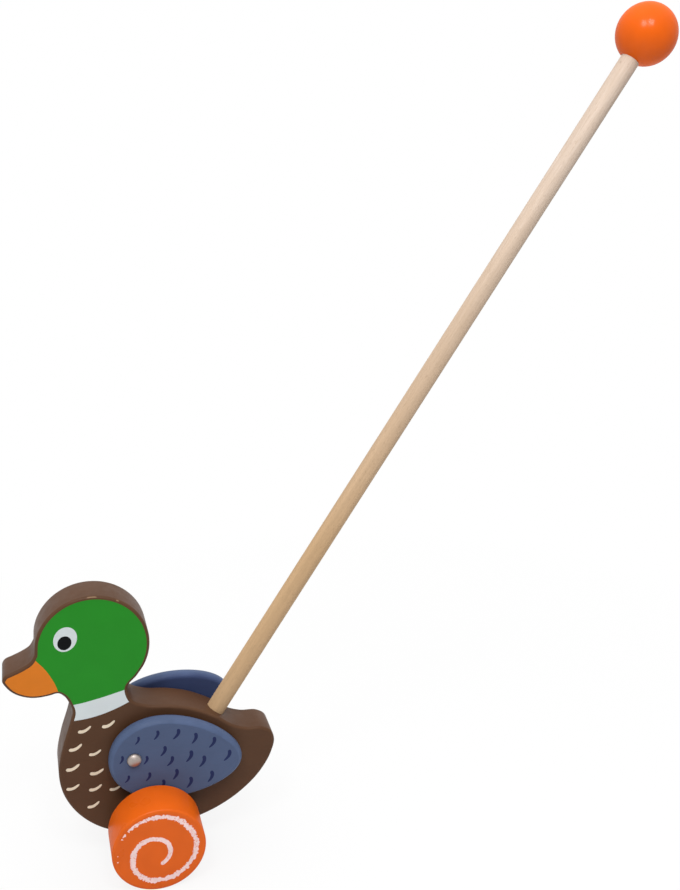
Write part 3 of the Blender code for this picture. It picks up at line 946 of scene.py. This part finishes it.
def spiral_prints():
    """The stamped spiral, from the wheel's centre: a ragged stroke, the flecks of its end and its gaps."""
    draws = random.Random(SPIRAL_SEED)
    knots = [SPIRAL_TIP]
    for i, radius in enumerate(SPIRAL_RADII):
        knots.append(on_circle((0, 0), radius, SPIRAL_START + SPIRAL_TURN * i))
    line = smooth(knots + [SPIRAL_TAIL], SPIRAL_STEP)
    last = len(line) - 1
    upper = []
    lower = []
    gaps = []
    gap_places = draws.sample(range(int(SPIRAL_UNBROKEN * last), last), SPIRAL_GAPS)
    for i, (above, below) in enumerate(zip(wander(last + 1, draws), wander(last + 1, draws))):
        t = i / last
        along = (line[min(i + 1, last)] - line[max(i - 1, 0)]).normalized()
        side = Vector((-along.y, along.x))
        half = spiral_half_width(t)
        roughening = min(t / SPIRAL_ROUGHENING, 1)
        rough = SPIRAL_ROUGHNESS * (SPIRAL_LEAST_ROUGHNESS + (1 - SPIRAL_LEAST_ROUGHNESS) * roughening)
        upper.append(limited(line[i] + side * (half + rough * above), SPIRAL_LIMIT))
        lower.append(limited(line[i] - side * (half + rough * below), SPIRAL_LIMIT))
        if i in gap_places:
            centre = line[i] + side * half * draws.uniform(-SPIRAL_GAP_REACH, SPIRAL_GAP_REACH)
            gaps.append((COAT, blot(centre, SPIRAL_GAP_SIZE, along + side, draws)))
    flecks = []
    for place, size in DRY_FLECKS:
        flecks.append((PRINT, blot(Vector(place), (FLECK_STRETCH * size, size), Vector(place), draws)))
    return [(PRINT, upper + lower[::-1])] + flecks + gaps


def blot(centre, size, along, draws):
    """A small ragged spot, drawn out along a direction."""
    along = along.normalized()
    across = Vector((-along.y, along.x))
    spot = []
    for corner in oval((0, 0), size, BLOT_SIDES):
        reach = draws.uniform(*BLOT_REACH)
        spot.append(limited(centre + reach * (corner.x * along + corner.y * across), SPIRAL_LIMIT))
    return spot


def limited(point, radius):
    """A point kept within a radius of the origin."""
    return point * min(1, radius / point.length)


def make_wheels():
    """Both wheels, blind-bored from within, with the spiral stamped on their outer faces."""
    coat = lacquer("wheel_lacquer", ORANGE, roughness=0.30, gloss=0.36, wave=0.000005)
    stamp = stamp_paint("spiral_stamp", SPIRAL_PINK, ORANGE, roughness=0.5)
    radius = WHEEL_DIAMETER / 2
    inner, outer = WHEEL_FACES
    bore = WHEEL_BORE / 2
    bore_end = outer - WHEEL_WALL
    profile = [(0, bore_end), (bore, bore_end), (bore, inner), (radius - WHEEL_EDGE - SUPPORT, inner)]
    rounding = []
    for i in range(EDGE_STEPS + 1):
        turn = pi / 2 * i / EDGE_STEPS
        rounding.append((radius - WHEEL_EDGE * (1 - cos(turn)), WHEEL_EDGE_DEPTH * (1 - sin(turn))))
    profile += [(reach, inner + depth) for reach, depth in reversed(rounding)]
    profile += [(reach, outer - depth) for reach, depth in rounding]
    profile += [(radius - WHEEL_EDGE - SUPPORT, outer)]
    for side, sign in (("left", -1), ("right", 1)):
        wheel, rows = turned(profile, WHEEL_SIDES)
        place = Matrix.Translation((AXLE.x, 0, AXLE.z)) @ Matrix.Rotation(-sign * pi / 2, 4, "X")
        bmesh.ops.transform(wheel, matrix=place, verts=wheel.verts)
        prints = []
        for material, shape in spiral_prints():
            prints.append((material, from_axle([Vector((-sign * point.x, point.y)) for point in shape])))
        fill_face(wheel, rows[-1], prints, [])
        make_piece("lacquered_wheel_" + side, wheel, [coat, stamp], "wheelset", "orange_lacquer",
                   "wheel_" + side)


def make_wings():
    """Both wings, the right one raised, with ticks on their outer faces and painted shade on their inner
    ones.
    """
    blue = paint("blue_paint", BLUE, roughness=0.45, gloss=0.10, inner=SHADED_BLUE)
    navy = paint("navy_print", NAVY, roughness=0.45, contrast=0.08, grain=PRINT_GRAIN)
    inner, outer = WING_FACES
    smallest, largest = WING_TICK_LIMITS
    draws = random.Random(WING_SEED)
    ticks = []
    for place in WING_TICKS:
        grown = WING_TICK_AT_PIN + place[0] / WING_TICK_GROWTH
        size = min(max(grown, smallest), largest) * draws.uniform(*WING_TICK_SIZES)
        angle = draws.uniform(-WING_TICK_TURN, WING_TICK_TURN)
        ticks.append(tick(place, WING_TICK, WING_TICK_WIDTHS, size, angle))
    edges = (WING_OUTER_EDGE, WING_INNER_EDGE)
    for side, raised in (("left", 0), ("right", RIGHT_WING_RAISE)):
        centre = Vector((PIN.x, PIN.z))
        outline = [centre + point for point in turned_points(wing_outline(), raised)]
        prints = [(PRINT, [centre + point for point in turned_points(shape, raised)]) for shape in ticks]
        holes = [oval(centre, (WING_HOLE, WING_HOLE), HOLE_SIDES)]
        if side == "left":
            mesh_data = board(outline, -outer, -inner, edges, (prints, []), holes)
        else:
            mesh_data = board(outline, inner, outer, edges[::-1], ([], prints), holes)
        # Painted shade: full on the inner face, fading out over its rounded edge towards the outer face.
        shade = mesh_data.verts.layers.float.new("inner")
        for vertex in mesh_data.verts:
            vertex[shade] = max(1 - (abs(vertex.co.y) - inner) / WING_INNER_EDGE[1], 0)
        make_piece("painted_wing_" + side, mesh_data, [blue, navy], side + "_wing", "blue_paint",
                   "wing_" + side)


def make_caps():
    """The hollow domes over the ends of the wing pin."""
    bright = metal("cap_metal", CAP_WHITE, roughness=0.46)
    cap = CAP_DIAMETER / 2
    hollow = cap - CAP_WALL
    rise = CAP_HEIGHT - CAP_WALL
    quarter = [pi / 2 * i / CAP_RINGS for i in range(CAP_RINGS + 1)]
    profile = [(cap * sin(turn), CAP_HEIGHT * cos(turn)) for turn in quarter]
    profile += [(hollow * cos(turn), rise * sin(turn)) for turn in quarter[:-1]] + [(0, rise)]
    for side, sign in (("left", -1), ("right", 1)):
        dome, _ = turned(profile, CAP_SIDES)
        place = Matrix.Translation((PIN.x, sign * CAP_SEAT, PIN.z)) @ Matrix.Rotation(-sign * pi / 2, 4, "X")
        bmesh.ops.transform(dome, matrix=place, verts=dome.verts)
        make_piece("bright_cap_" + side, dome, [bright], "body", "bright_cap", "pin_cap_" + side)


def dress_inner_parts():
    """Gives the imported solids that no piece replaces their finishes."""
    # The cams take the same painted light, paling over their height.
    wood = beech("cam_beech", 0, BEECH, LIT_BEECH, [end.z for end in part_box("cam_left")])
    fibre = fibre_board("washer_fibre")
    steel = metal("pin_steel", STEEL, roughness=0.25)
    finishes = {"axle": wood, "wing_pin": steel}
    for side in ("left", "right"):
        finishes["cam_" + side] = wood
        finishes["axle_washer_" + side] = fibre
        finishes["wing_washer_" + side] = fibre
        finishes["push_nut_" + side] = steel
    for node, material in finishes.items():
        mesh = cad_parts[node].data
        mesh.materials.clear()
        mesh.materials.append(material)


# Stage

def make_floor():
    """A pale floor that keeps the toy's shadow and turns to plain white away from it, also in gloss."""
    mesh_data = bmesh.new()
    bmesh.ops.create_circle(mesh_data, cap_ends=True, segments=FLOOR_SIDES, radius=FLOOR_RADIUS)
    mesh = bpy.data.meshes.new("floor")
    mesh_data.to_mesh(mesh)
    mesh_data.free()
    floor = bpy.data.objects.new("floor", mesh)
    floor.location.z = -FLOOR_DROP
    bpy.context.scene.collection.objects.link(floor)
    finish = Finish("floor")
    reach = finish.add("ShaderNodeVectorMath", operation="LENGTH")
    finish.put(reach.inputs[0], finish.place)
    far = finish.spread(reach.outputs["Value"], 0, 1, *FLOOR_FALL)
    base = finish.mix(far, FLOOR_COLOUR, FAR_FLOOR_COLOUR)
    finish.set(Base_Color=base, Roughness=FLOOR_ROUGHNESS, Specular_IOR_Level=FLOOR_SHEEN)
    rays = finish.add("ShaderNodeLightPath").outputs
    seen = finish.math("MAXIMUM", rays["Is Camera Ray"], rays["Is Transmission Ray"])
    seen = finish.math("MAXIMUM", seen, rays["Is Glossy Ray"])
    whiter = finish.spread(reach.outputs["Value"], FLOOR_WHITE, 1, *FLOOR_WHITE_SPAN)
    share = finish.math("MULTIPLY", seen, whiter)
    white = finish.add("ShaderNodeEmission")
    mixed = finish.add("ShaderNodeMixShader")
    finish.put(mixed.inputs[0], share)
    finish.put(mixed.inputs[1], finish.shader.outputs[0])
    finish.put(mixed.inputs[2], white.outputs[0])
    finish.put(finish.tree.nodes["Material Output"].inputs["Surface"], mixed.outputs[0])
    mesh.materials.append(finish.material)


def make_world():
    """A pale studio: white where the camera looks and in gloss, lighting the toy most from overhead."""
    world = bpy.data.worlds.new("studio")
    bpy.context.scene.world = world
    world.use_nodes = True
    nodes = Nodes(world.node_tree)
    rays = nodes.add("ShaderNodeLightPath").outputs
    direction = nodes.add("ShaderNodeSeparateXYZ")
    nodes.put(direction.inputs[0], nodes.add("ShaderNodeTexCoord").outputs["Generated"])
    room = nodes.spread(direction.outputs["Y"], FRONT_LEVEL, 1, *FRONT_SPAN)
    overhead = nodes.spread(direction.outputs["Z"], 0, TOP_LEVEL, *TOP_SPAN)
    fill = nodes.math("MULTIPLY", nodes.math("ADD", room, overhead), FILL_LEVEL)
    seen = nodes.math("MAXIMUM", rays["Is Camera Ray"], rays["Is Transmission Ray"])
    seen = nodes.math("MAXIMUM", seen, rays["Is Glossy Ray"])
    background = world.node_tree.nodes["Background"]
    nodes.put(background.inputs["Color"], (1, 1, 1, 1))
    nodes.put(background.inputs["Strength"], nodes.spread(seen, fill, 1, 0, 1))


def make_lights():
    """Two soft boxes side by side, above the camera."""
    place = Vector(KEY_PLACE)
    turn = (Vector(KEY_AIM) - place).to_track_quat("-Z", "Y")
    for name, sign in (("key_left", -1), ("key_right", 1)):
        data = bpy.data.lights.new(name, "AREA")
        data.shape = "RECTANGLE"
        data.size, data.size_y = KEY_SIZE
        data.energy = KEY_POWER
        lamp = bpy.data.objects.new(name, data)
        lamp.location = place + turn @ Vector((sign * (KEY_SIZE[0] + KEY_GAP) / 2, 0, 0))
        lamp.rotation_mode = "QUATERNION"
        lamp.rotation_quaternion = turn
        bpy.context.scene.collection.objects.link(lamp)


def make_camera():
    """The camera, at the photograph's view."""
    data = bpy.data.cameras.new("camera")
    data.sensor_width = SENSOR
    data.lens = FOCAL_PIXELS * SENSOR / FRAME_HEIGHT
    camera = bpy.data.objects.new("camera", data)
    camera.location = Vector((AXLE.x, 0, AXLE.z)) + Vector(CAMERA_FROM_AXLE)
    camera.rotation_euler = (radians(90 - CAMERA_DROP), 0, radians(-CAMERA_TURN))
    bpy.context.scene.collection.objects.link(camera)
    bpy.context.scene.camera = camera


make_body()
make_handle()
make_wheels()
make_wings()
make_caps()
dress_inner_parts()
make_floor()
make_world()
make_lights()
make_camera()
bpy.context.scene.view_settings.view_transform = "Standard"
